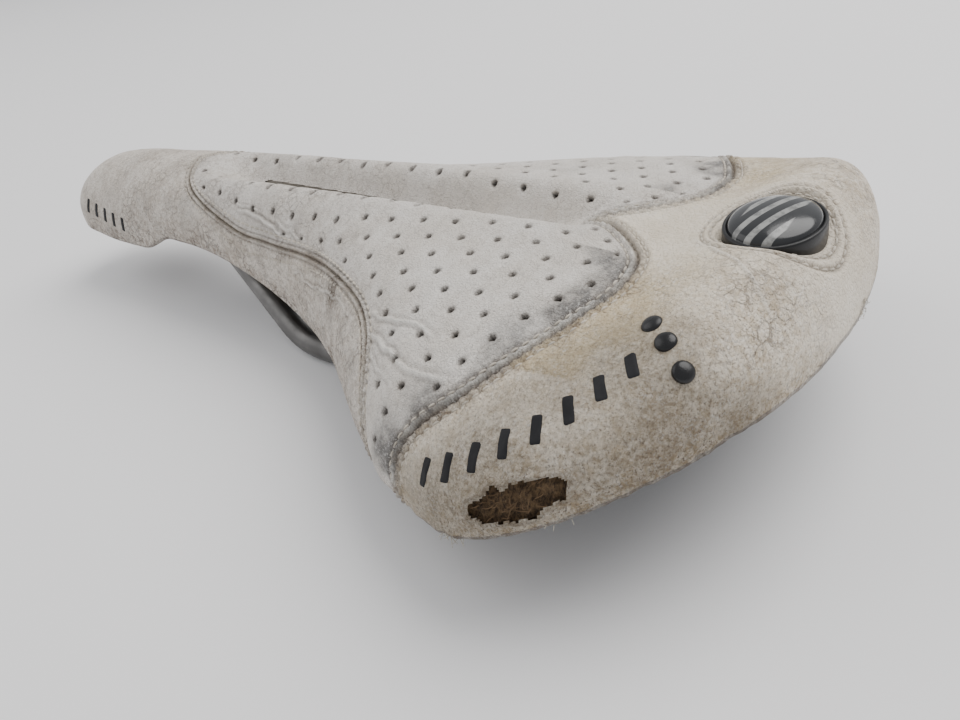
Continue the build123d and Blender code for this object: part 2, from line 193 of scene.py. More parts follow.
def evenly(line, step):
    run = runs_along(line)
    places = np.linspace(0, run[-1], max(2, int(run[-1] / step)))
    return np.stack([np.interp(places, run, line[:, k]) for k in range(line.shape[1])], axis=1)


def smooth_line(points, step):
    """A Catmull-Rom line through points, sampled evenly."""
    knots = np.array(points, float)
    knots = np.vstack([2 * knots[0] - knots[1], knots, 2 * knots[-1] - knots[-2]])
    samples = []
    for i in range(1, len(knots) - 2):
        a, b, c, d = knots[i - 1:i + 3]
        for t in np.linspace(0, 1, 40, endpoint=False):
            samples.append(0.5 * (2 * b + (c - a) * t + (2 * a - 5 * b + 4 * c - d) * t ** 2
                                  + (3 * b - a - 3 * c + d) * t ** 3))
    samples.append(knots[-2])
    return evenly(np.array(samples), step)


def mirrored_line(line):
    return np.array([(-x, y) for x, y in line])


def offset_line(line, distance):
    """A plan line moved sideways."""
    along = np.gradient(line, axis=0)
    along /= np.linalg.norm(along, axis=1, keepdims=True)
    return line + np.stack([-along[:, 1], along[:, 0]], axis=1) * distance


def in_polygon(x, y, polygon):
    inside = np.zeros(x.shape, bool)
    previous = polygon[-1]
    for point in polygon:
        crosses = (point[1] > y) != (previous[1] > y)
        if crosses.any():
            slope = (previous[0] - point[0]) / ((previous[1] - point[1]) or 1e-12)
            inside ^= crosses & (x < slope * (y - point[1]) + point[0])
        previous = point
    return inside


def noise(points, size, seed):
    """Smooth value noise, -1 to 1, with features of a given size. It hashes the cells' corners."""
    cell = np.floor(points / size).astype(np.int64)
    part = points / size - cell
    part = part * part * (3 - 2 * part)
    total = np.zeros(len(points))
    for corner in range(8):
        offset = np.array([corner & 1, corner >> 1 & 1, corner >> 2 & 1])
        key = ((cell + offset) * np.array([73856093, 19349663, 83492791])).sum(axis=1) + seed * 7919
        key = (key ^ (key >> 13)) * 1274126177 & 0x7FFFFFFF
        key = (key ^ (key >> 15)) * 668265263 & 0x7FFFFFFF
        weight = np.prod(np.where(offset == 1, part, 1 - part), axis=1)
        total += weight * (key % 65536) / 65535.0
    return 2 * total - 1


def bell(distance, width, power=2):
    """1 where the distance is nothing, falling off over the width."""
    return np.exp(-(distance / width) ** power)


# --- Materials ------------------------------------------------------------------------------------
class Nodes:
    """A small builder for node materials on the Principled shader."""

    def __init__(self, name):
        self.material = bpy.data.materials.new(name)
        self.material.use_nodes = True
        self.tree = self.material.node_tree
        self.shader = self.tree.nodes["Principled BSDF"]
        self.place = self.new("TexCoord").outputs["Object"]

    def new(self, kind):
        return self.tree.nodes.new("ShaderNode" + kind)

    def feed(self, socket, value):
        """Set a socket from a number, a colour or another node's output."""
        if isinstance(value, (int, float)):
            socket.default_value = value
        elif isinstance(value, tuple):
            socket.default_value = (*value, 1)
        else:
            self.tree.links.new(value, socket)

    def noise(self, size_mm, detail=4, rough=0.55, stretch=None):
        node = self.new("TexNoise")
        node.inputs["Scale"].default_value = 1 / (size_mm * MM)
        node.inputs["Detail"].default_value = detail
        node.inputs["Roughness"].default_value = rough
        place = self.place
        if stretch:
            mapping = self.new("Mapping")
            mapping.inputs["Scale"].default_value = stretch
            self.feed(mapping.inputs["Vector"], place)
            place = mapping.outputs["Vector"]
        self.feed(node.inputs["Vector"], place)
        return node.outputs["Fac"]

    def cells(self, size_mm, wander_mm):
        """Distance to the edges of a cell pattern, in cell sizes, its lines bent by wander_mm."""
        node = self.new("TexVoronoi")
        node.feature = "DISTANCE_TO_EDGE"
        node.inputs["Scale"].default_value = 1 / (size_mm * MM)
        bend = self.new("TexNoise")
        bend.inputs["Scale"].default_value = 1 / (size_mm * 0.8 * MM)
        bend.inputs["Detail"].default_value = 3
        self.feed(bend.inputs["Vector"], self.place)
        bent = self.new("VectorMath")
        bent.operation = "MULTIPLY_ADD"
        bent.inputs[1].default_value = (2 * wander_mm * MM,) * 3
        self.feed(bent.inputs[0], bend.outputs["Color"])
        self.feed(bent.inputs[2], self.place)
        self.feed(node.inputs["Vector"], bent.outputs[0])
        return node.outputs["Distance"]

    def attribute(self, name):
        node = self.new("Attribute")
        node.attribute_name = name
        return node.outputs["Fac"]

    def band(self, source, low, high, start=0.0, end=1.0):
        node = self.new("MapRange")
        node.interpolation_type = "SMOOTHSTEP"
        for key, value in (("From Min", low), ("From Max", high), ("To Min", start), ("To Max", end)):
            node.inputs[key].default_value = value
        self.feed(node.inputs["Value"], source)
        return node.outputs["Result"]

    def math(self, kind, *values):
        node = self.new("Math")
        node.operation = kind
        for socket, value in zip(node.inputs, values):
            self.feed(socket, value)
        return node.outputs[0]

    def times(self, *values):
        product = values[0]
        for value in values[1:]:
            product = self.math("MULTIPLY", product, value)
        return product

    def mix(self, amount, a, b):
        node = self.new("Mix")
        node.data_type = "RGBA"
        self.feed(node.inputs["Factor"], amount)
        self.feed(node.inputs[6], a)
        self.feed(node.inputs[7], b)
        return node.outputs[2]

    def bump(self, *layers):
        """Layers of (height output, depth in millimetres), stacked."""
        normal = None
        for height, depth in layers:
            node = self.new("Bump")
            node.inputs["Distance"].default_value = depth * MM
            self.feed(node.inputs["Height"], height)
            if normal:
                self.feed(node.inputs["Normal"], normal)
            normal = node.outputs["Normal"]
        self.feed(self.shader.inputs["Normal"], normal)

    def color(self, source):
        self.feed(self.shader.inputs["Base Color"], source)

    def rough(self, source):
        self.feed(self.shader.inputs["Roughness"], source)

    def set(self, **values):
        for key, value in values.items():
            self.shader.inputs[key.replace("_", " ")].default_value = value


def blend(a, b, share):
    return tuple((1 - share) * one + share * two for one, two in zip(a, b))


AGED = (0.90, 0.88, 0.85)         # the clean colour times this, in wide clouds
YELLOWED = (0.56, 0.455, 0.285)
PILE_TIPS = (0.70, 0.64, 0.56)
RUBBED = (0.165, 0.155, 0.145)
SEAM_DIRT_AND_SHADE = (0.12, 0.09, 0.065)
WORN_RIDGE = (0.84, 0.81, 0.75)
FLECKS = (0.86, 0.84, 0.80)
HOLE_SHADE = (0.035, 0.026, 0.020)


def leather(name, clean, stain, dark, grain_mm):
    """Worn synthetic leather, with its wear and some painted shade laid on by the cover's attributes."""
    m = Nodes(name)
    dirt, fuzz = m.attribute("dirt"), m.attribute("fuzz")
    fine = m.noise(1.5, 5, 0.75)
    pile = m.noise(0.9, 5, 0.8)
    tone = m.mix(m.band(m.noise(14, 5), 0.35, 0.7), clean, tuple(c * k for c, k in zip(clean, AGED)))
    tone = m.mix(m.times(m.attribute("yellow"), m.band(fine, 0.3, 0.6, 0.50, 0.95)), tone, YELLOWED)

    mottled = m.times(m.band(fine, 0.38, 0.60), m.times(dirt, 1.1))
    mottled = m.times(mottled, m.band(m.noise(6, 6, 0.7), 0.34, 0.62, 0.25, 1.0))
    tone = m.mix(mottled, tone, stain)
    clouds = m.times(m.band(m.noise(9, 5, 0.65), 0.45, 0.68, 0.0, 0.6), dirt)
    tone = m.mix(clouds, tone, blend(stain, dark, 0.5))
    peppered = m.times(m.band(m.noise(0.5, 4, 0.8), 0.52, 0.64), m.math("ADD", m.times(dirt, 0.75), 0.24))
    tone = m.mix(peppered, tone, dark)
    cracks = m.times(m.band(m.cells(2.4, 0.9), 0.02, 0.10, 1.0, 0.0), m.band(m.noise(7, 4), 0.42, 0.60),
                     m.times(dirt, m.math("SUBTRACT", 0.85, fuzz)))
    cracks = m.math("MAXIMUM", cracks, 0.0)
    tone = m.mix(cracks, tone, dark)

    # Where the pile's bump is low the fuzz is painted darker: painted shade between the tufts
    tone = m.mix(m.times(fuzz, m.band(pile, 0.36, 0.60, 0.70, 0.0)), tone, blend(stain, dark, 0.55))
    tone = m.mix(m.times(fuzz, m.band(pile, 0.52, 0.72, 0.0, 0.5)), tone, PILE_TIPS)
    smudged = m.times(m.attribute("smudge"), m.band(m.noise(5, 5, 0.7), 0.30, 0.60, 0.25, 1.0))
    tone = m.mix(smudged, tone, RUBBED)
    # Dirt in the seams and stitch lines, and painted shade in the crease hollows and the waist's wrinkles
    tone = m.mix(m.times(m.attribute("seam"), m.band(fine, 0.2, 0.6, 0.55, 1.0)), tone, SEAM_DIRT_AND_SHADE)
    tone = m.mix(m.times(m.attribute("ridge"), m.band(fine, 0.3, 0.6, 0.45, 0.9)), tone, WORN_RIDGE)
    flecks = m.times(m.band(m.noise(0.7, 5, 0.85), 0.52, 0.62, 0.0, 0.5), m.band(m.noise(5, 4), 0.4, 0.65))
    tone = m.mix(flecks, tone, FLECKS)
    # The perforations' insides and a ring round each rim are painted near black: painted shade
    tone = m.mix(m.attribute("hole"), tone, HOLE_SHADE)

    m.color(tone)
    m.rough(m.math("ADD", m.band(fine, 0.2, 0.8, 0.40, 0.60), m.times(fuzz, 0.3)))
    grain = m.band(m.cells(grain_mm, 0.3), 0.0, 0.25)
    m.bump((grain, 0.13), (m.noise(0.4, 4), 0.16), (m.noise(3.5, 4), 0.30), (m.times(cracks, -1), 0.2),
           (m.times(pile, fuzz), 1.3))
    m.set(Specular_IOR_Level=0.35)
    return m.material


def plain(name, color, rough, size_mm, depth, stretch=None, variation=0.25, **more):
    """One colour, a little uneven, with a fine bump."""
    m = Nodes(name)
    m.color(m.mix(m.band(m.noise(9, 5), 0.3, 0.7), color, tuple(c * (1 - variation) for c in color)))
    m.rough(m.band(m.noise(4, 4), 0.3, 0.7, rough, min(1.0, rough + 0.16)))
    m.bump((m.noise(size_mm, 4, 0.6, stretch), depth))
    m.set(**more)
    return m.material


panel_leather = leather("perforated_cover", (0.78, 0.74, 0.69), (0.46, 0.40, 0.345), (0.15, 0.12, 0.10), 0.7)
rear_leather = leather("rear_cover", (0.80, 0.725, 0.61), (0.46, 0.36, 0.235), (0.11, 0.08, 0.06), 1.1)
nose_leather = leather("nose_cover", (0.745, 0.69, 0.62), (0.40, 0.33, 0.265), (0.13, 0.10, 0.08), 0.8)
seam_leather = leather("seam_cover", (0.64, 0.58, 0.50), (0.32, 0.25, 0.19), (0.10, 0.075, 0.06), 0.5)
# The turned-under hem is the same leather given a darker colour: painted shade under the lower edge
shaded_hem_leather = leather("hem_cover_shaded", (0.50, 0.46, 0.41), (0.27, 0.22, 0.18), (0.08, 0.065, 0.05), 0.8)


# --- The cover's fine grid ------------------------------------------------------------------------
HALF_COLUMNS = 185               # from the middle to the lower edge
HEM_COLUMNS = 34                 # round the edge and turned in
HEM_REACH = 9.0                  # how far it is turned in
HEM_SHARE = 0.28                 # narrower than that in the nose: this share of the half-width
EDGE_RADIUS = 1.1                # of the roll into the hem
BAND_SHORT = 1.0                 # the band ends this far above its full depth, where the roll starts
STEP = 0.5                       # between rows along the body


def rows():
    tail = REAR_ROUND * (1 - np.cos(np.linspace(0.015, 1, 150) * pi / 2))
    body = np.arange(REAR_ROUND + STEP, LENGTH - NOSE_ROUND, STEP)
    tip = LENGTH - NOSE_ROUND * (1 - np.cos(np.linspace(1, 0.012, 62) * pi / 2))
    return np.concatenate([tail, body, tip])


def section(y):
    """Half a cross-section at y: even steps over the top, then round the edge into the hem."""
    width, low = float(half_width(y)), float(lower_edge(y))
    foot = low - SKIRT + BAND_SHORT
    x, z = section_arch(width, float(full_rise(y)), low, 260)
    z = z - float(valley(y)) * valley_share(x)
    line = np.stack([np.append(x, width), np.append(z, foot)], axis=1)
    run = runs_along(line)
    places = np.linspace(0, run[-1], HALF_COLUMNS)
    over = np.stack([np.interp(places, run, line[:, k]) for k in (0, 1)], axis=1)
    roll = np.linspace(0, pi, 12)[1:]
    radius = min(EDGE_RADIUS, width * 0.4)
    under_x = width - radius * (1 - np.cos(roll))
    under_z = foot - radius * np.sin(roll)
    turned_in = np.linspace(0, 1, HEM_COLUMNS - len(roll) + 1)[1:]
    under_x = np.append(under_x, under_x[-1] - turned_in * min(HEM_REACH, HEM_SHARE * width))
    under_z = np.append(under_z, under_z[-1] + 0.25 * turned_in)
    return np.concatenate([over, np.stack([under_x, under_z], axis=1)])


def grid_normals(surface):
    normal = np.cross(np.gradient(surface, axis=1), np.gradient(surface, axis=0))
    return normal / np.maximum(np.linalg.norm(normal, axis=-1, keepdims=True), 1e-9)


def both_halves(halves, places):
    """Rows of half-sections, mirrored and set at their places along the saddle."""
    full = np.concatenate([halves[:, :0:-1] * [-1, 1], halves], axis=1)
    along = np.repeat(np.array(places)[:, None], full.shape[1], axis=1)
    return np.stack([full[..., 0], along, full[..., 1]], axis=-1)


row_places = rows()
grid = both_halves(np.array([section(y) for y in row_places]), row_places)
row_count, column_count = grid.shape[:2]
middle_column = column_count // 2
edge_left = middle_column - HALF_COLUMNS + 1
edge_right = middle_column + HALF_COLUMNS - 1
step_lengths = np.linalg.norm(np.diff(grid, axis=1), axis=2)
arc = np.concatenate([np.zeros((row_count, 1)), np.cumsum(step_lengths, axis=1)], axis=1)
arc = arc - arc[:, middle_column:middle_column + 1]                # each grid point's run
edge_arc = arc[:, edge_left]

points = grid.reshape(-1, 3)
flat_arc = arc.reshape(-1)
side_run = np.abs(flat_arc)
plan_x, plan_y = points[:, 0], points[:, 1]


def patchy(level, swing, size, seed):
    """Uneven strength over the cover, 0 to 1."""
    return np.clip(level + swing * noise(points, size, seed), 0, 1)


def row_at(y, last=1):
    """The grid's row at a place along the saddle, short of both ends."""
    return int(np.clip(np.searchsorted(row_places, y), 1, row_count - last))


# --- Seams and panels -----------------------------------------------------------------------------
LINE_STEP = 0.3
FAR = 99.0                       # stands for no distance worth knowing


def lifted(line):
    """A plan line laid on the surface and, where it runs off the side, down the upright band."""
    inside = [p for p in line if abs(p[0]) < float(half_width(p[1])) - 0.02]
    laid = [(x, y, float(surface_height(x, y))) for x, y in inside]
    if len(inside) < len(line):
        x, y, _ = max(laid, key=lambda p: abs(p[0]))
        edge = (float(np.sign(x) * half_width(y)), y)
        down = [(*edge, float(lower_edge(y))), (*edge, float(lower_edge(y)) - SKIRT)]
        laid = laid + down if laid[-1][0] == x else down[::-1] + laid
    return evenly(np.array(laid), LINE_STEP)


def distance_to(line, reach=1e9):
    """How far each point of the grid is from a line, and where along the line it is nearest."""
    tree = KDTree(len(line))
    for index, point in enumerate(line):
        tree.insert(point, index)
    tree.balance()
    away, run = np.full(len(points), FAR), np.zeros(len(points))
    low, high = line.min(axis=0) - reach, line.max(axis=0) + reach
    for k in np.nonzero(((points > low) & (points < high)).all(axis=1))[0]:
        _, index, distance = tree.find(points[k])
        away[k], run[k] = distance, index * LINE_STEP
    return away, run


rear_seam = smooth_line(REAR_SEAM, LINE_STEP)
side_seam = smooth_line(SIDE_SEAM, LINE_STEP)
seams = {"rear_left": rear_seam, "rear_right": mirrored_line(rear_seam),
         "side_left": side_seam, "side_right": mirrored_line(side_seam)}
near = {name: distance_to(lifted(line)) for name, line in seams.items()}
rear_near = np.minimum(near["rear_left"][0], near["rear_right"][0])
side_near = np.minimum(near["side_left"][0], near["side_right"][0])
seam_near = np.minimum(rear_near, side_near)

OUTSIDE = -95                    # beyond the widest point
rear_corner, side_corner = REAR_SEAM[-1][1], SIDE_SEAM[0][1]
panel_outline = np.vstack([rear_seam, [(OUTSIDE, rear_corner), (OUTSIDE, side_corner)], side_seam])
panel = in_polygon(plan_x, plan_y, panel_outline) | in_polygon(-plan_x, plan_y, panel_outline)
tail_outline = np.vstack([rear_seam, [(OUTSIDE, rear_corner), (OUTSIDE, -9), (0, -9)]])
tail = in_polygon(plan_x, plan_y, tail_outline) | in_polygon(-plan_x, plan_y, tail_outline)
tail |= (np.abs(plan_x) < 1e-6) & (plan_y < REAR_SEAM[0][1])
sides = ~panel & ~tail

# --- Relief of the cover: push is outward, in millimetres -----------------------------------------
# The padding swells between the seams and beside the channel, and the leather is never quite even
push = 0.9 * panel * (1 - bell(seam_near, 6.0)) + 0.35 * tail * (1 - bell(rear_near, 8.0))
beside_channel = bell(np.abs(plan_x) - VALLEY_HALF, 5.5) * ramp(plan_y, 44, 62) * (1 - ramp(plan_y, 150, 185))
push += 0.9 * panel * beside_channel
push += 0.25 * noise(points, 22, 3) + 0.12 * noise(points, 8, 4) * (0.5 + tail)
push += 0.05 * noise(points, 3.0, 5) * (1 + 1.5 * tail)

# Seams: sunk lines with a lip beside each, as (distance, at, width, depth), and pinched by the thread
for distance, at, width, depth in (
        (rear_near, 0, 0.42, 0.95), (rear_near, 0.95, 0.38, -0.42),
        (rear_near, REAR_STITCHES, 0.36, 0.42), (rear_near, 2.7, 0.45, -0.22),
        (side_near, 0, 0.35, 0.60), (side_near, 0.8, 0.32, -0.34), (side_near, SIDE_STITCHES, 0.35, 0.28)):
    push -= depth * bell(distance - at, width)
for name, (away, run) in near.items():
    pulled = np.cos(2 * pi * run / STITCH_PITCH + 0.8 * noise(points, 5, 13))
    push += (0.24 if "rear" in name else 0.17) * pulled * bell(away - 1.1, 0.7)

# Creases: plan line, width, depth. Each is a worn ridge with a shaded hollow beside it
CREASES = [
    ([(-41, 88), (-42.5, 77), (-43.5, 69), (-46, 64)], 0.75, 0.6),
    ([(-44.5, 85), (-49.5, 73), (-52.5, 64), (-52.4, 56)], 0.85, 0.65),
    ([(-47.5, 83), (-52, 76), (-55, 69)], 0.6, 0.4),
    ([(-15.9, 164), (-17.5, 154), (-19.3, 144), (-19.8, 139)], 0.8, 0.65),
    ([(-17.4, 146), (-19.6, 138), (-22.0, 130)], 0.7, 0.5),
    ([(-14.5, 168), (-15.6, 160), (-16.6, 153)], 0.5, 0.35),
    ([(-7.3, 27.5), (-13.5, 20.5), (-18.3, 14), (-21.9, 9), (-24, 6)], 0.45, 0.38),
    ([(-18.3, 14), (-20, 17), (-20.5, 21), (-23, 24)], 0.35, 0.25),
    ([(-20.2, 11), (-25, 12.5), (-29, 12)], 0.35, 0.22),
    ([(20.6, 42.5), (27, 33.5), (33, 24), (42, 15)], 0.5, 0.3),
    ([(41, 87), (42.8, 76), (44, 66)], 0.75, 0.5),
    ([(-25, 135), (-27, 128), (-29.6, 121), (-33, 112), (-36.8, 103), (-39.8, 97)], 0.55, 0.55),
    ([(17, 160), (18.6, 149), (20, 139)], 0.7, 0.45),
]
crease_shade_mask, ridge_mask = np.zeros(len(points)), np.zeros(len(points))
for line, width, depth in CREASES:
    path = smooth_line(line, LINE_STEP)
    level = np.column_stack([path, np.zeros(len(path))])
    path = lifted(path + 0.55 * np.stack([noise(level, 3.2, 81), noise(level, 2.6, 82)], axis=1))
    away, run = distance_to(path, 6.0)
    share = np.clip(run / (LINE_STEP * (len(path) - 1)), 0, 1)
    depth = depth * 0.85 * np.sin(pi * (0.06 + 0.88 * share)) ** 0.6 * (0.8 + 0.4 * noise(points, 4, 83))
    width = width * 0.72
    push += depth * (0.85 * bell(away, width * 0.62) - 0.75 * bell(away - width * 1.7, width * 0.7))
    ridge_mask += 2.4 * bell(away, width * 0.62) * depth
    # The hollow beside each ridge is also painted darker: painted shade
    crease_shade_mask += 1.3 * bell(away - width * 1.6, width * 0.6) * depth

# Fine upright wrinkles where the skirt bends round the waist, on both sides
waist = sides * bell(plan_y - 111, 9) * np.clip((side_run - 24) / 8, 0, 1)
waist *= 1 - ramp(np.abs(plan_x), 52, 60)
folds = np.sin(plan_y * 4.3 + 1.6 * noise(points, 6, 9)) * np.clip(0.4 + noise(points, 5, 10), 0, 1)
push += 0.36 * waist * folds

# The badge's recess is an egg drawn out towards the nose, with two stitched rings
TOP_HEIGHT = 40                  # above this height a place near the badge is on the top, not the skirt
egg_y = plan_y - BADGE_AT
egg = np.hypot(plan_x / EGG_HALF, egg_y / np.where(egg_y > 0, EGG_FRONT, EGG_REAR))
egg[(plan_y > 60) | (points[:, 2] < TOP_HEIGHT)] = 9
egg_gap = (egg - 1) * EGG_SIZE            # about millimetres outside the outer ring
for at, width, depth in ((0.0, 0.38, 0.45), (-INNER_RING, 0.38, 0.45),
                         (-0.75, 0.35, -0.15), (0.8, 0.5, -0.15)):
    push -= depth * bell(egg_gap - at, width)
push -= 0.5 * (1 - ramp(egg_gap, -2.6, -1.7))
cup_gap = (badge_reach(plan_x, plan_y) - 1) * 10
push -= 1.5 * (1 - ramp(cup_gap, 0.0, 2.2)) * (egg_gap < 0)

# Perforations, staggered: columns follow the channel's crest and fan out towards the wing
crest_x = np.clip(9.0 - 0.06 * (90 - row_places), 6.2, 9.6) - 3.0 * ramp(row_places, 158, 188)
right_half = slice(middle_column, edge_right)
crest_arc = [np.interp(x, *lines) for x, *lines in zip(crest_x, grid[:, right_half, 0], arc[:, right_half])]
outward_run = side_run - np.repeat(crest_arc, column_count)
fan = np.clip(0.09 * (90 - plan_y), -2.6, 9) + 1.2 * ramp(plan_y, 120, 160)
across_run = outward_run + fan * np.clip(outward_run / 10, 0, 1)
column = np.round(across_run / COLUMN_PITCH)
row_pitch = ROW_PITCH - 0.15 * column
first_row = 97.7 + 3.9 * column - 0.12 * column ** 2
row = np.round((plan_y - first_row) / row_pitch)
wander = noise(np.stack([column * 31.7, row * 17.3, np.sign(flat_arc) * 9.1], axis=1), 1.0, 21)
gap_arc = across_run - column * COLUMN_PITCH - 0.6 * wander
gap_y = plan_y - first_row - row * row_pitch - 0.5 * wander
on_top = np.tile(np.abs(np.arange(column_count) - middle_column) < HALF_COLUMNS - 6, row_count)
punched = panel & (seam_near > 3.4) & (column >= 0) & on_top & (slot_distance(plan_x, plan_y) > 2.0)
hole_distance = np.where(punched, np.hypot(gap_arc, gap_y), FAR)

# Grid points close to a hole's rim move onto it, so that the rim is round
snap = np.abs(hole_distance - HOLE_RADIUS) < 0.23
pull = np.where(snap, HOLE_RADIUS / np.maximum(hole_distance, 1e-3) - 1, 0)
side_way = np.gradient(grid, axis=1).reshape(-1, 3)
side_way /= np.maximum(np.linalg.norm(side_way, axis=1, keepdims=True), 1e-9)
side_way *= np.sign(flat_arc)[:, None]
points_moved = points + side_way * (gap_arc * pull)[:, None]
points_moved[:, 1] += gap_y * pull
# Inside each perforation the cover is only dented, and is painted near black there: painted shade in the
# holes
hole = (hole_distance < HOLE_RADIUS - 0.12).astype(float)
push -= 1.2 * hole
push -= 0.26 * bell(hole_distance - HOLE_RADIUS, 0.7) * (hole_distance < 6)

# The torn patch on the left wing: a ragged oval with its long axis along the lower edge
TEAR_SIZE = 5.0                  # turns a share of its size into about millimetres
tear_u = (flat_arc - np.repeat(edge_arc, column_count) - TEAR_RISE) / TEAR_HALF[0]
tear_v = (plan_y - TEAR_AT) / TEAR_HALF[1]
tear_radius = np.hypot(tear_u, tear_v) + 0.10 * tear_v
tear_radius[(flat_arc > -20) | (plan_y > 60)] = 9
tear_gap = TEAR_SIZE * (tear_radius - 1 - 0.22 * noise(points, 3.4, 31) - 0.10 * noise(points, 1.2, 32))
push += 0.5 * bell(tear_gap - 0.3, 0.5) * (tear_gap > -0.5)
push += 0.25 * bell(tear_gap, 2.5) * noise(points, 1.2, 33)

# --- Stains, wear and painted shade, as masks for the leather --------------------------------------
edge_share = side_run / np.maximum(np.repeat(np.abs(arc[:, edge_right]), column_count), 1)
clean_middle = bell(plan_x, 15 + 0.12 * plan_y, 4)
patches = 0.5 + 0.5 * noise(points, 16, 41)

# The seams darken with dirt; the crease hollows and the waist's wrinkles are painted darker with them:
# painted shade
seam_dirt_and_crease_shade = bell(rear_near, 0.35) + 0.75 * bell(rear_near - REAR_STITCHES, 0.35)
seam_dirt_and_crease_shade += bell(side_near, 0.3) + 0.6 * bell(side_near - SIDE_STITCHES, 0.3)
seam_dirt_and_crease_shade += 0.8 * bell(egg_gap, 0.32) + 0.8 * bell(egg_gap + INNER_RING, 0.32)
seam_dirt_and_crease_shade += 0.35 * bell(tear_gap - 0.2, 0.9) + 0.55 * crease_shade_mask + 0.8 * waist * np.clip(folds, 0, 1)

dirt = tail * (0.22 + 0.62 * np.clip(rear_near / 30, 0, 1)) * (0.55 + 0.6 * patches)
dirt *= (1 - 0.92 * clean_middle) * (0.65 + 0.35 * ramp(plan_y, 0, 10))
dirt += tail * 0.45 * bell(rear_near, 5) * (1 - clean_middle)
dirt += panel * (0.14 + 0.22 * bell(seam_near, 6) + 0.38 * ramp(plan_y, 84, 130) * patches)
# The sides darken towards the lower edge, and everything darkens more round the edge and on the hem
dirt += sides * (0.32 + 0.7 * np.clip(edge_share - 0.55, 0, 1) + 0.25 * patches)
dirt += 0.5 * np.clip((edge_share - 0.9) * 8, 0, 1)

yellow = tail * bell(rear_near - 6, 10) * (1 - 0.8 * clean_middle) * (np.abs(plan_x) < 48)
yellow *= 1.3 * patchy(0.8, 0.7, 9, 42)

smudge = 1.25 * panel * bell(rear_near, 9, 4) * patchy(0.75, 1.5, 8, 51) * (np.abs(plan_x) > 14)
smudge += 0.35 * panel * patchy(-0.35, 1, 9, 52) + 0.4 * sides * patchy(0, 1, 10, 53)
smudge *= 1 - 0.4 * (plan_y > 90)

left_wing = bell(plan_x + 52, 26, 4) * ramp(-plan_x, 22, 42)
fuzz = tail * left_wing * (1 - bell(rear_near, 7)) * patchy(0.75, 0.5, 11, 71)
fuzz += 0.5 * tail * np.clip((edge_share - 0.72) * 5, 0, 1) * patchy(0.5, 1, 13, 72)
fuzz *= 1 - 0.75 * clean_middle
push += fuzz * (0.22 * noise(points * [1, 1, 0.7], 2.0, 73) + 0.15 * noise(points, 1.15, 74))

# A dark ring round each hole's rim: painted shade where the rim sinks into the hole
hole += 0.55 * bell(hole_distance - HOLE_RADIUS, 0.22) * (hole_distance < 5)
ridge_mask += 1.1 * panel * bell(rear_near - 0.95, 0.38) * patchy(0.6, 1, 2.2, 14)
ridge_mask += 0.5 * bell(side_near - 0.8, 0.3) * patchy(0.5, 1, 3, 15)
masks = {"dirt": dirt, "smudge": smudge, "seam": seam_dirt_and_crease_shade, "hole": hole, "fuzz": fuzz, "yellow": yellow,
         "ridge": ridge_mask}
masks = {name: np.clip(values, 0, 1).astype(np.float32) for name, values in masks.items()}

cover_rows = (points_moved + grid_normals(grid).reshape(-1, 3) * push[:, None]).reshape(grid.shape)
cover_rows[[0, -1], :, 0] = 0.0           # the first and last rows close on the middle line
cover_points = cover_rows.reshape(-1, 3)
cover_normals = grid_normals(cover_rows)


# --- Meshes ---------------------------------------------------------------------------------------
def mesh_object(name, vertices, faces, material, slot, attributes=None):
    """A piece from arrays: vertices in millimetres, faces all with the same number of corners."""
    faces = np.asarray(faces, np.int32)
    mesh = bpy.data.meshes.new(name)
    mesh.vertices.add(len(vertices))
    mesh.vertices.foreach_set("co", np.asarray(in_frame(vertices), np.float32).ravel())
    mesh.loops.add(faces.size)
    mesh.loops.foreach_set("vertex_index", faces.ravel())
    mesh.polygons.add(len(faces))
    mesh.polygons.foreach_set("loop_start", np.arange(0, faces.size, faces.shape[1], dtype=np.int32))
    mesh.polygons.foreach_set("use_smooth", np.full(len(faces), True))
    for key, values in (attributes or {}).items():
        layer = mesh.attributes.new(key, "FLOAT", "POINT")
        layer.data.foreach_set("value", np.asarray(values, np.float32))
    mesh.update(calc_edges=True)
    mesh.validate()
    mesh.materials.append(material)
    piece = bpy.data.objects.new(name, mesh)
    bpy.context.scene.collection.objects.link(piece)
    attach(piece, "root")
    return piece


def grid_faces(row_total, column_total):
    index = np.arange(row_total * column_total).reshape(row_total, column_total)
    corners = [index[:-1, :-1], index[:-1, 1:], index[1:, 1:], index[1:, :-1]]
    return np.stack(corners, axis=-1).reshape(-1, 4)


def ring_faces(base, rings, around):
    """Triangles of a closed form made of rings of points, numbered from base."""
    faces = []
    for s in range(rings - 1):
        for k in range(around):
            a, b = base + s * around + k, base + s * around + (k + 1) % around
            faces += [(a, b, b + around), (a, b + around, a + around)]
    last = base + (rings - 1) * around
    for k in range(1, around - 1):
        faces += [(base, base + k + 1, base + k), (last, last + k, last + k + 1)]
    return faces


def circle(around):
    return [(cos(2 * pi * k / around), sin(2 * pi * k / around)) for k in range(around)]


# --- The cover's pieces ---------------------------------------------------------------------------
all_faces = grid_faces(row_count, column_count)


def most(mask):
    """Faces with at least two corners in a mask of the grid's points."""
    return mask[all_faces].sum(axis=1) >= 2


def whole(mask):
    return mask[all_faces].all(axis=1)


def part_of_grid(name, keep, material, slot, node):
    """A piece of the cover: the kept faces, with only the points that they use."""
    faces = all_faces[keep]
    used, compact = np.unique(faces, return_inverse=True)
    piece = mesh_object(name, cover_points[used], compact.reshape(faces.shape), material, slot,
                        {key: values[used] for key, values in masks.items()})
    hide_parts(node)
    return piece


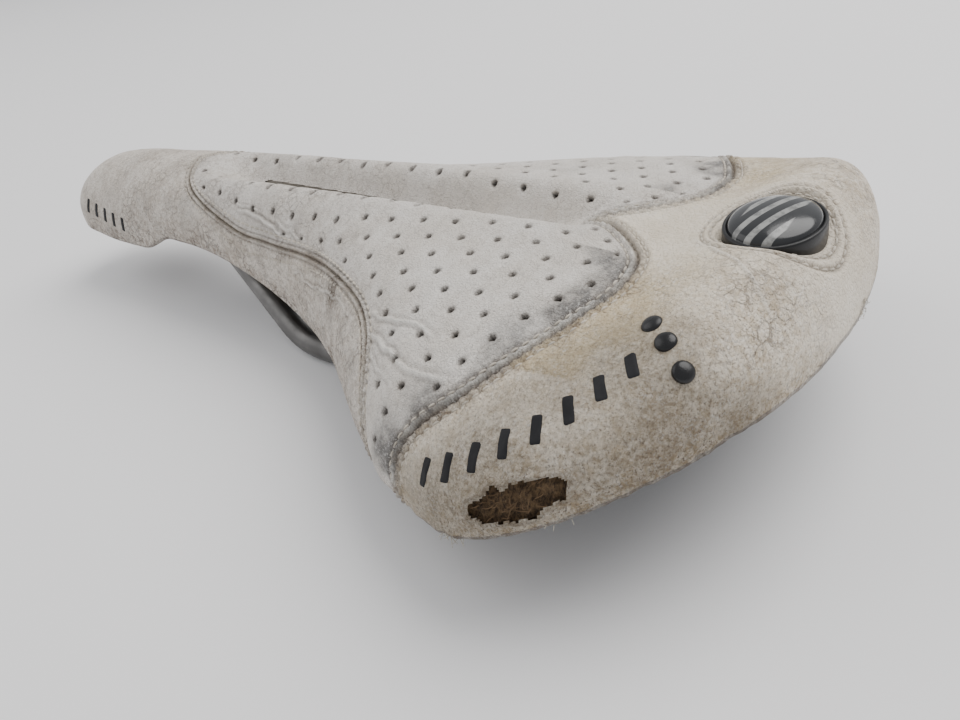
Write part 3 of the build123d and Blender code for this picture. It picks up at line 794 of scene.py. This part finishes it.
face_columns = np.tile(np.arange(column_count - 1), row_count - 1)
hem_face = (face_columns < edge_left) | (face_columns >= edge_right)
in_slot = whole(slot_distance(plan_x, plan_y) < 0)
in_cup = whole(badge_reach(plan_x, plan_y) < 0.95) & whole(points[:, 2] > TOP_HEIGHT)
top_face = ~hem_face & ~in_slot & ~in_cup & ~whole(tear_gap < 0)
left_face = most(plan_x < 0)
band_rear = most(rear_near < 1.15) & top_face
band_side = most(side_near < 0.95) & top_face & ~band_rear
between = top_face & ~band_rear & ~band_side
surround = most(egg_gap < -1.0) & top_face
panel_face = most(panel) & between
tail_face = most(tail) & between & ~surround
nose_face = between & ~panel_face & ~tail_face & ~surround

cover_left = part_of_grid("cover_panel_left_visual", panel_face & left_face, panel_leather,
                          "perforated_leather", "cover_panel_left")
cover_right = part_of_grid("cover_panel_right_visual", panel_face & ~left_face, panel_leather,
                           "perforated_leather", "cover_panel_right")
cover_rear = part_of_grid("cover_rear_visual", tail_face, rear_leather, "smooth_leather", "cover_rear")
part_of_grid("cover_nose_visual", nose_face, nose_leather, "smooth_leather", "cover_nose")
part_of_grid("cover_hem_visual", hem_face, shaded_hem_leather, "smooth_leather", "cover_hem")
part_of_grid("badge_surround_visual", surround, rear_leather, "smooth_leather", "badge_surround")
for side, chosen in (("left", left_face), ("right", ~left_face)):
    for seam, band in (("rear", band_rear), ("side", band_side)):
        part_of_grid(f"seam_{seam}_{side}_visual", band & chosen, seam_leather, "seam_binding",
                     f"seam_band_{seam}_{side}")


# --- Stitches and prints on the cover -------------------------------------------------------------
def arc_of(x, y):
    """The run at plan place x."""
    i = row_at(y)
    line = slice(edge_left, edge_right + 1)
    return float(np.interp(x, grid[i, line, 0], arc[i, line]))


def on_cover(run, y, lift=0.0):
    """The finished cover's point and outward direction at a run and a place along the saddle."""
    i = int(np.clip(np.searchsorted(row_places, y) - 1, 0, row_count - 2))
    part_y = np.clip((y - row_places[i]) / (row_places[i + 1] - row_places[i]), 0, 1)
    total, direction = np.zeros(3), np.zeros(3)
    for r, weight in ((i, 1 - part_y), (i + 1, part_y)):
        j = int(np.clip(np.searchsorted(arc[r], run) - 1, 0, column_count - 2))
        part_u = np.clip((run - arc[r, j]) / max(arc[r, j + 1] - arc[r, j], 1e-6), 0, 1)
        for c, share in ((j, 1 - part_u), (j + 1, part_u)):
            total += weight * share * cover_rows[r, c]
            direction += weight * share * cover_normals[r, c]
    direction /= max(np.linalg.norm(direction), 1e-9)
    return total + direction * lift, direction


THREAD_RADIUS = 0.26
THREAD_LIFT = 0.16               # a stitch's middle, above the cover
THREAD_DIP = 0.34                # its ends dive this much lower
STITCH_STATIONS = [(-1.0, 0.35), (-0.86, 0.85), (-0.4, 1.0), (0.4, 1.0), (0.86, 0.85), (1.0, 0.35)]


def sewn(name, stitch_rows, length=1.75):
    """Thread stitches: each row is a list of (point, outward) along a seam."""
    ring = circle(6)
    vertices, faces = [], []
    for spots in stitch_rows:
        for (point, outward), (ahead, _) in zip(spots[:-1], spots[1:]):
            gap = np.linalg.norm(ahead - point)
            if gap < 0.5:
                continue
            along = (ahead - point) / gap
            aside = np.cross(outward, along)
            faces += ring_faces(len(vertices), len(STITCH_STATIONS), len(ring))
            for t, wide in STITCH_STATIONS:
                centre = (point + ahead) / 2 + along * t * min(length, gap * 0.78) / 2
                centre = centre + outward * (THREAD_LIFT - THREAD_DIP * t * t)
                for a, b in ring:
                    vertices.append(centre + (aside * a + outward * b) * THREAD_RADIUS * wide)
    mesh_object(name, vertices, faces, thread, "seam_binding")


def stitch_row(line, distance):
    """Places for stitches along a seam, at a distance to one side of it."""
    spots = evenly(lifted(offset_line(line, distance)), STITCH_PITCH)
    return [on_cover(arc_of(x, y), y, 0.02) for x, y, z in spots if z > float(lower_edge(y)) + 0.4]


def badge_ring(inward, turns):
    """Places for stitches round the badge."""
    scale = 1 - inward / EGG_SIZE
    spots = []
    for k in range(turns + 1):
        angle = 2 * pi * k / turns - pi / 2
        x = EGG_HALF * scale * cos(angle)
        y = BADGE_AT + (EGG_FRONT if sin(angle) > 0 else EGG_REAR) * scale * sin(angle)
        spots.append(on_cover(arc_of(x, y), y, 0.02))
    return spots


thread = plain("thread", (0.66, 0.60, 0.51), 0.75, 0.3, 0.05, variation=0.35)
for side in ("left", "right"):
    for seam, distance in (("rear", REAR_STITCHES), ("side", SIDE_STITCHES)):
        line = seams[f"{seam}_{side}"]
        sewn(f"stitches_{seam}_{side}", [stitch_row(line, distance), stitch_row(line, -distance)])
sewn("stitches_badge", [badge_ring(0.0, 38), badge_ring(INNER_RING, 34)], length=1.7)


def prints(name, spots, half_length, half_wide):
    """Flat printed bars with soft corners, laid on the cover. Each spot is (run, y, turn)."""
    n, m, thickness = 15, 7, 0.14
    vertices, faces = [], []
    for run, y, turn in spots:
        faces += (grid_faces(n, m) + len(vertices)).tolist()
        for a in np.linspace(-1, 1, n):
            for b in np.linspace(-1, 1, m):
                u = half_length * a * (1 - 0.06 * b ** 4)
                v = half_wide * b * (1 - 0.10 * a ** 8)
                edge = max(abs(a), abs(b))
                lift = thickness if edge < 0.9 else 0.9 * thickness if edge < 0.999 else -0.09
                aside, ahead = u * cos(turn) - v * sin(turn), u * sin(turn) + v * cos(turn)
                vertices.append(on_cover(run + aside, y + ahead, lift)[0])
    mesh_object(name, vertices, faces, ink, "smooth_leather")


ink = plain("print_ink", (0.014, 0.014, 0.016), 0.55, 0.5, 0.05, variation=0.3, Specular_IOR_Level=0.25)
BAR_LINE = [(-66.0, 53.0), (-65.6, 48.5), (-64.4, 44.0), (-61.0, 38.0), (-58.0, 33.4), (-53.4, 28.8),
            (-47.7, 24.4), (-43.6, 21.6)]
BAR_SLANT = radians(68)          # to the line that the bars stand on
bars = [(arc_of(x, y), y) for x, y, _ in evenly(lifted(smooth_line(BAR_LINE, 0.5)), 5.0)]
turned_bars = []
for k, (run, y) in enumerate(bars):
    before, after = bars[max(k - 1, 0)], bars[min(k + 1, len(bars) - 1)]
    heading = np.arctan2(after[1] - before[1], after[0] - before[0])
    turned_bars.append((run, y, float(heading) + BAR_SLANT))
prints("wing_print", turned_bars, 2.9, 1.15)

left_side = slice(edge_left, middle_column)
stripes = []
for y in np.arange(234.0, 257.0, 5.5):
    i = row_at(y)
    height = 27.5 + (y - 233) * 0.17
    stripes.append((float(np.interp(height, grid[i, left_side, 2], arc[i, left_side])), y, radians(-14)))
prints("nose_print", stripes, 2.7, 1.0)


# --- Studs and badge ------------------------------------------------------------------------------
def lathe(profile, half_x, half_y, centre, around, outward=(0, 0, 1)):
    """A closed form of elliptical rings. profile is (scale, height) from the bottom up."""
    turn = Matrix.Identity(3) if outward == (0, 0, 1) else Vector(outward).to_track_quat("Z", "Y").to_matrix()
    vertices = [Vector(centre) + turn @ Vector((half_x * scale * a, half_y * scale * b, height))
                for scale, height in profile for a, b in circle(around)]
    return vertices, ring_faces(0, len(profile), around)


STUD_PROFILE = [(1.06, -0.8), (1.06, 0.0), (1.03, 0.22), (0.93, 0.46), (0.76, 0.66), (0.5, 0.82),
                (0.25, 0.89), (0.06, 0.91)]
stud_gloss = plain("stud_gloss", (0.008, 0.008, 0.009), 0.20, 0.4, 0.03, Specular_IOR_Level=0.4)
stud_vertices, stud_faces = [], []
for x, y in STUD_SPOTS:
    point, outward = on_cover(arc_of(x, y), y)
    vertices, faces = lathe(STUD_PROFILE, STUD_RADIUS, STUD_RADIUS, point, 28, tuple(outward))
    stud_faces += [tuple(i + len(stud_vertices) for i in face) for face in faces]
    stud_vertices += vertices
studs = mesh_object("studs_visual", stud_vertices, stud_faces, stud_gloss, "badge_plastic")
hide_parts("studs")

cup_low, cup_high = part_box("badge_cup")
cup_bottom, cup_top = cup_low[2] / MM, cup_high[2] / MM
cup_height = cup_top - cup_bottom
rim = [(1.0, -0.6), (0.993, -0.2), (0.975, 0.0), (0.95, 0.05), (0.925, -0.05), (0.91, -0.3), (0.905, -1.2),
       (0.88, -1.4), (0.2, -1.4)]
cup_profile = [(0.2, 0.0), (0.96, 0.0), (1.0, 0.3)] + [(scale, cup_height + drop) for scale, drop in rim]
black_gloss = plain("badge_rim", (0.009, 0.009, 0.010), 0.30, 0.4, 0.02, Specular_IOR_Level=0.35)
badge_cup = mesh_object("badge_cup_visual", *lathe(cup_profile, *CUP_HALF, (0, BADGE_AT, cup_bottom), 96),
                        black_gloss, "badge_plastic")
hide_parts("badge_cup")


def badge_resin():
    """Clear resin over a dark disc with generic slanted stripes, worn in places."""
    m = Nodes("badge_resin")
    split = m.new("SeparateXYZ")
    m.feed(split.inputs[0], m.place)
    slant = m.math("ADD", split.outputs["Y"], m.times(split.outputs["X"], 0.35))
    stripe = m.band(m.math("SINE", m.times(slant, 2 * pi / 0.0034)), 0.15, 0.32)
    off_middle = m.math("ABSOLUTE", m.math("SUBTRACT", split.outputs["Y"], REAR_EDGE + (BADGE_AT + 0.4) * MM))
    window = m.band(off_middle, 0.0044, 0.0049, 1.0, 0.0)
    worn = m.band(m.noise(2.2, 5, 0.7), 0.35, 0.6, 0.45, 1.0)
    m.color(m.mix(m.times(stripe, window, worn), (0.016, 0.017, 0.019), (0.30, 0.30, 0.29)))
    m.rough(m.band(m.noise(3, 4), 0.3, 0.7, 0.12, 0.24))
    m.bump((m.noise(2.5, 3), 0.03))
    m.set(Coat_Weight=0.25, Coat_Roughness=0.1, Specular_IOR_Level=0.35)
    return m.material


dome_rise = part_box("badge_dome")[1][2] / MM - cup_top
dome_profile = [(0.89, -1.2), (0.90, -0.3)]
for k in range(16):
    a = k / 16 * pi / 2
    dome_profile.append((0.9 * cos(a), -0.3 + (dome_rise + 0.2) * sin(a) ** 0.9))
dome_profile.append((0.02, dome_rise - 0.1))
badge_dome = mesh_object("badge_dome_visual", *lathe(dome_profile, *CUP_HALF, (0, BADGE_AT, cup_top), 96),
                         badge_resin(), "badge_resin")
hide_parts("badge_dome")


# --- Padding under the cover ----------------------------------------------------------------------
def inset_section(y, side, top, drop):
    """Half a cross-section inset by side and top, with an upright leg of drop below it."""
    share = (y - LENGTH / 2) / (LENGTH / 2 - side) * (LENGTH / 2) + LENGTH / 2
    share = float(np.clip(share, 0.02, LENGTH - 0.02))
    width = max(float(half_width(share)) - side, 0.05)
    low = float(lower_edge(y))
    rise = max(float(full_rise(share)) - top, 0.05)
    x, z = section_arch(width, rise, low, 59)
    z = z - float(valley(share)) * valley_share(x) * (rise > 1)
    return np.stack([np.append(x, width), np.append(z, low - drop)], axis=1)


def shell_between(outer, inner, left_out):
    """A closed solid between two insets of (side, top, drop), without the faces that are left out."""
    layers = [both_halves(np.array([inset_section(y, *inset) for y in PADDING_ROWS]), PADDING_ROWS)
              for inset in (outer, inner)]
    rows_here, columns_here = layers[0].shape[:2]
    faces = grid_faces(rows_here, columns_here)
    kept = faces[~left_out(layers[0].reshape(-1, 3)[faces].mean(axis=1))]
    offset = rows_here * columns_here
    edges = {(int(a), int(b)) for face in kept for a, b in zip(face, np.roll(face, -1))}
    walls = [(b, a, a + offset, b + offset) for a, b in sorted(edges) if (b, a) not in edges]
    every = np.vstack([kept, kept[:, ::-1] + offset, np.array(walls)])
    used, compact = np.unique(every, return_inverse=True)
    return np.vstack([layer.reshape(-1, 3) for layer in layers])[used], compact.reshape(every.shape)


PADDING_ROWS = np.concatenate([np.linspace(2.4, 20, 18), np.arange(21.5, 262, 1.6),
                               np.linspace(262.5, 274, 12)])
foam_material = plain("foam", (0.50, 0.40, 0.26), 0.95, 0.9, 0.35, variation=0.35)
vertices, faces = shell_between((1.9, 2.1, 0.6), (3.1, 9.2, 0.6),
                                lambda middle: slot_distance(middle[:, 0], middle[:, 1]) < 1.4)
under_cup = badge_reach(vertices[:, 0], vertices[:, 1], 1.5) < 1
vertices[under_cup, 2] = np.minimum(vertices[under_cup, 2], cup_bottom - 0.2)
foam = mesh_object("foam_core", vertices, faces, foam_material, "foam")
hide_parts("foam_pad")

GEL_OUTLINE = [(-12, 54), (-15, 45), (-24, 43), (-33, 46), (-44, 54), (-49, 64), (-46, 75), (-36, 86),
               (-26, 106), (-19.5, 130), (-16, 156), (-12, 174), (-12, 120), (-12, 54)]
gel_material = plain("gel", (0.42, 0.50, 0.55), 0.28, 3.0, 0.2, variation=0.15, Transmission_Weight=0.25)
gel_edge = smooth_line(GEL_OUTLINE, 1.0)
for side, sign in (("left", 1), ("right", -1)):
    vertices, faces = shell_between((1.75, 1.75, 0.0), (2.0, 2.0, 0.0), lambda middle: ~in_polygon(
        middle[:, 0] * sign, middle[:, 1], gel_edge))
    insert = mesh_object(f"gel_pad_{side}", vertices, faces, gel_material, "gel")
    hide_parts(f"gel_insert_{side}")


# --- The channel's lining: a wall round the opening, rolled over the cover's cut edge -------------
def slot_outline(turns):
    """Even places round the opening, each with its outward direction."""
    straight = SLOT_END - SLOT_START
    bend = pi * SLOT_HALF
    outline = []
    for s in np.arange(turns) * 2 * (straight + bend) / turns:
        if s < straight:
            outline.append((SLOT_HALF, SLOT_START + s, 1, 0))
        elif s < straight + bend:
            a = (s - straight) / SLOT_HALF
            outline.append((SLOT_HALF * cos(a), SLOT_END + SLOT_HALF * sin(a), cos(a), sin(a)))
        elif s < 2 * straight + bend:
            outline.append((-SLOT_HALF, SLOT_END - (s - straight - bend), -1, 0))
        else:
            a = pi + (s - 2 * straight - bend) / SLOT_HALF
            outline.append((SLOT_HALF * cos(a), SLOT_START + SLOT_HALF * sin(a), cos(a), sin(a)))
    return outline


LINER_PROFILE = [(1.3, 0.12), (0.6, 0.34), (0.0, 0.38), (-0.45, 0.15), (-0.6, -0.4), (-0.5, -3.0),
                 (-0.4, -6.0), (-0.4, -11.5), (0.35, -11.8), (0.5, -11.0), (0.5, -6.0), (0.5, -2.2),
                 (0.9, -1.2), (1.3, -0.8)]     # (outward, height over the cover), in to out and back
liner_material = leather("channel_lining", (0.42, 0.39, 0.35), (0.22, 0.18, 0.15), (0.07, 0.055, 0.045), 0.6)
wall = slot_outline(120)
vertices = []
for out, depth in LINER_PROFILE:
    for x, y, out_x, out_y in wall:
        x, y = x + out_x * out, y + out_y * out
        vertices.append((x, y, float(surface_height(x, y)) + depth))
index = np.arange(len(vertices)).reshape(len(LINER_PROFILE), len(wall))
next_ring, next_place = np.roll(index, -1, axis=0), np.roll(index, -1, axis=1)
faces = np.stack([index, next_place, np.roll(next_ring, -1, axis=1), next_ring], axis=-1).reshape(-1, 4)
liner = mesh_object("channel_lining", vertices, faces, liner_material, "liner_leather")
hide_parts("channel_liner")

# --- The torn patch and loose fibres --------------------------------------------------------------
dice = np.random.default_rng(11)


def torn_look():
    m = Nodes("torn_padding")
    # The padding's dark brown is lightened in noise lumps and in fine specks: painted highlights on the lumpy
    # padding
    lump_highlights = m.band(m.noise(1.3, 6, 0.75, (1.0, 2.2, 1.0)), 0.36, 0.66)
    tone = m.mix(lump_highlights, (0.040, 0.022, 0.010), (0.20, 0.125, 0.060))
    m.color(m.mix(m.band(m.noise(0.5, 4, 0.8), 0.55, 0.75, 0.0, 0.6), tone, (0.33, 0.22, 0.12)))
    m.rough(0.95)
    m.bump((m.noise(0.8, 5, 0.8, (1, 2.5, 1)), 0.6), (m.noise(0.3, 3), 0.25))
    return m.material


def by_the_tear(u, v, lift):
    """A point over or under the cover, u up the wing's side and v along it from the torn patch."""
    y = TEAR_AT + v
    run = float(np.interp(y, row_places, edge_arc)) + TEAR_RISE + u
    point, direction = on_cover(run, y)
    return point + direction * lift


n, m = 70, 90
vertices = np.array([by_the_tear(u, v, -1.25 - 0.25 * cos(min(1.0, np.hypot(u / 6, v / 9)) * pi))
                     for u in np.linspace(-5.6, 5.6, n) for v in np.linspace(-10.5, 10.5, m)])
rough_mm = 0.42 * noise(vertices, 1.6, 61) + 0.25 * noise(vertices, 0.7, 62)
vertices[:, 0] -= rough_mm * 0.8
vertices[:, 2] += rough_mm * 0.5
mesh_object("torn_padding", vertices, grid_faces(n, m), torn_look(), "foam")


def strands(name, curves, radius, material, slot):
    """Thin fibres: each curve is a list of points, tapered to both ends."""
    ring = circle(5)
    vertices, faces = [], []
    for curve in curves:
        faces += ring_faces(len(vertices), len(curve), len(ring))
        for i, (point, along) in enumerate(zip(curve, np.gradient(curve, axis=0))):
            one = Vector(along).normalized().orthogonal().normalized()
            two = Vector(along).normalized().cross(one)
            wide = radius * (0.35 + 0.65 * sin(pi * (0.12 + 0.76 * i / (len(curve) - 1))))
            vertices += [point + (np.array(one) * a + np.array(two) * b) * wide for a, b in ring]
    mesh_object(name, vertices, faces, material, slot)


fibre = plain("fibre", (0.20, 0.125, 0.065), 0.9, 0.4, 0.05, variation=0.5)
curves = []
for _ in range(34):
    u, v = dice.uniform(-3.6, 3.6), dice.uniform(-6.6, 6.6)
    if (u / 3.9) ** 2 + (v / 7.0) ** 2 > 1:
        continue
    heading = dice.normal(1.57, 0.7)
    size = dice.uniform(1.2, 3.2)
    curl = dice.uniform(-0.6, 0.6)
    arch = dice.uniform(0.0, 0.9)
    curves.append([by_the_tear(u + s * size * cos(heading + curl * s), v + s * size * sin(heading + curl * s),
                               -1.1 + arch * (1 - 2.2 * s * s)) for s in np.linspace(-0.5, 0.5, 7)])
strands("torn_fibres", curves, 0.09, fibre, "foam")

# Threads that hang from the left lower edge, as (centre, spread, count, reach), and from the rear edge
fluff = plain("fluff", (0.62, 0.57, 0.48), 0.9, 0.4, 0.05, variation=0.3)
curves = []
for centre, spread, count, reach in ((46.0, 5.0, 20, 1.9), (24.0, 6.0, 8, 1.0)):
    for _ in range(count):
        i = row_at(centre + dice.normal(0, spread / 2), last=2)
        start = cover_rows[i, edge_left + int(dice.integers(-4, 3))]
        fall = dice.uniform(0.5, 1.0) * reach
        lean = dice.uniform(-1.0, 1.0)
        out = dice.uniform(-0.9, 0.6)
        curves.append([start + [out * s * 1.2, lean * s * 1.6, -fall * s + 0.5 * s * s * dice.uniform(0, 1)]
                       for s in np.linspace(0, 1, 6)])
for _ in range(26):
    x = dice.normal(6, 1.6)
    start = np.array([x, 0.4, float(lower_edge(0.5)) + dice.uniform(-2.2, 1.0)])
    curves.append([start + s * np.array([dice.uniform(-1, 1), -dice.uniform(0.3, 1.2),
                                         -dice.uniform(0.6, 2.0)]) for s in np.linspace(0, 1, 5)])
strands("frayed_edge", curves, 0.08, fluff, "smooth_leather")

# --- Finishes for the carried-over pieces ---------------------------------------------------------
shell_plastic = plain("shell_plastic", (0.020, 0.020, 0.022), 0.42, 0.7, 0.06, variation=0.3)
socket_plastic = plain("socket_plastic", (0.026, 0.026, 0.028), 0.48, 0.5, 0.08)
rubber = plain("bush_rubber", (0.035, 0.034, 0.032), 0.78, 0.4, 0.05, variation=0.3)
rail_metal = plain("rail_metal", (0.19, 0.185, 0.18), 0.38, 0.5, 0.03, (1.0, 0.12, 1.0), 0.3, Metallic=1.0)
screw_metal = plain("screw_metal", (0.55, 0.54, 0.52), 0.28, 0.4, 0.03, variation=0.3, Metallic=1.0)
for material, nodes in ((shell_plastic, ("base_shell",)),
                        (socket_plastic, ("rear_socket_left", "rear_socket_right", "nose_clip_block",
                                          "nose_clip_plate")),
                        (rubber, ("rear_bush_left", "rear_bush_right")),
                        (rail_metal, ("rail_left", "rail_right")),
                        (screw_metal, ("nose_clip_screws",)),
                        (ink, ("badge_disc",))):
    for node in nodes:
        for material_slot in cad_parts[node].material_slots:
            material_slot.material = material

# --- Floor, light and camera ----------------------------------------------------------------------
bpy.ops.mesh.primitive_plane_add(size=8, location=(0, 0, 0))
floor = bpy.context.object
floor.name = "floor"
floor_surface = Nodes("floor_surface")
floor_surface.color((0.86, 0.855, 0.86))
floor_surface.rough(0.6)
floor.data.materials.append(floor_surface.material)


def area_light(name, place, size, power, color):
    """A round soft light turned to the saddle."""
    data = bpy.data.lights.new(name, "AREA")
    data.shape = "DISK"
    data.size = size
    data.energy = power
    data.color = color
    light = bpy.data.objects.new(name, data)
    light.location = place
    light.rotation_euler = (Vector((0, 0, 0.02)) - Vector(place)).to_track_quat("-Z", "Y").to_euler()
    bpy.context.scene.collection.objects.link(light)


area_light("key", (0.70, -0.42, 1.15), 1.3, 19, (1.0, 0.985, 0.965))
area_light("fill", (-0.4, 1.2, 1.0), 1.6, 7, (1.0, 0.99, 0.98))
world = bpy.data.worlds.new("studio")
world.use_nodes = True
background = world.node_tree.nodes["Background"]
background.inputs["Color"].default_value = (0.97, 0.98, 1.0, 1)
background.inputs["Strength"].default_value = 0.70
bpy.context.scene.world = world

EYE = Vector((-0.13646, -0.17369, 0.12472))
AIM = Vector((-0.04146, -0.08052, 0.0350))
ROLL = radians(12.2)
camera_data = bpy.data.cameras.new("camera")
camera_data.lens = 30.42
camera_data.sensor_width = 36
camera_data.clip_start = 0.01
camera = bpy.data.objects.new("camera", camera_data)
forward = (AIM - EYE).normalized()
right = forward.cross(Vector((0, 0, 1))).normalized()
up = right.cross(forward)
right, up = right * cos(ROLL) - up * sin(ROLL), up * cos(ROLL) + right * sin(ROLL)
camera.matrix_world = Matrix.Translation(EYE) @ Matrix((right, up, -forward)).transposed().to_4x4()
bpy.context.scene.collection.objects.link(camera)
bpy.context.scene.camera = camera
